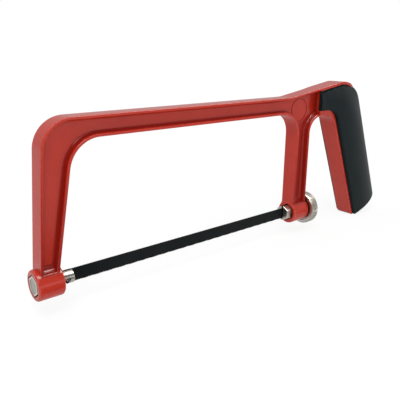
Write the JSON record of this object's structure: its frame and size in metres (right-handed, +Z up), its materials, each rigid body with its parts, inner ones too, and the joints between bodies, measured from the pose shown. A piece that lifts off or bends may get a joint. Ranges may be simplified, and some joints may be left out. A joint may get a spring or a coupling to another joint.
{
  "type": "mini hacksaw",
  "caption": "Small pistol-grip hacksaw: painted cast bow with a rubber grip, pinned blade in hexagonal holders, tightened by a knurled thumb nut.",
  "frame": {"origin": "centre of the bounding box on the ground plane under the handle's butt", "axes": "+X along the blade from the front boss towards the handle, +Y across the saw, +Z up from the blade to the beam"},
  "size_m": [0.2578, 0.0204, 0.0937],
  "materials": {
    "red_paint": "gloss red enamel on a die casting",
    "black_rubber": "satin black moulded rubber",
    "nickel_plate": "nickel plate over turned and milled steel",
    "knurled_nickel": "nickel plate, knurled rim",
    "black_blade_steel": "blackened spring steel",
    "pin_steel": "bright drawn steel"
  },
  "bodies": {
    "saw_frame": {"frame": "red_paint", "grip": "black_rubber"},
    "blade_train": {"front_blade_holder": "nickel_plate", "blade": "black_blade_steel", "rear_blade_holder": "nickel_plate", "front_blade_pin": "pin_steel", "rear_blade_pin": "pin_steel"},
    "tension_nut": {"thumb_nut": "knurled_nickel"}
  },
  "joints": [
    {"name": "nut_turn", "type": "hinge", "parent": "saw_frame", "child": "tension_nut", "pos_m": [0.04971, 0, 0.01406], "axis": [1, 0, 0], "range_deg": [0, 1805]},
    {"name": "blade_slide", "type": "slide", "parent": "saw_frame", "child": "blade_train", "axis": [-1, 0, 0], "range_m": [0, 0.004]}
  ],
  "couplings": [
    {"joint": "nut_turn", "follows": "blade_slide", "rad_per_m": 7854}
  ]
}
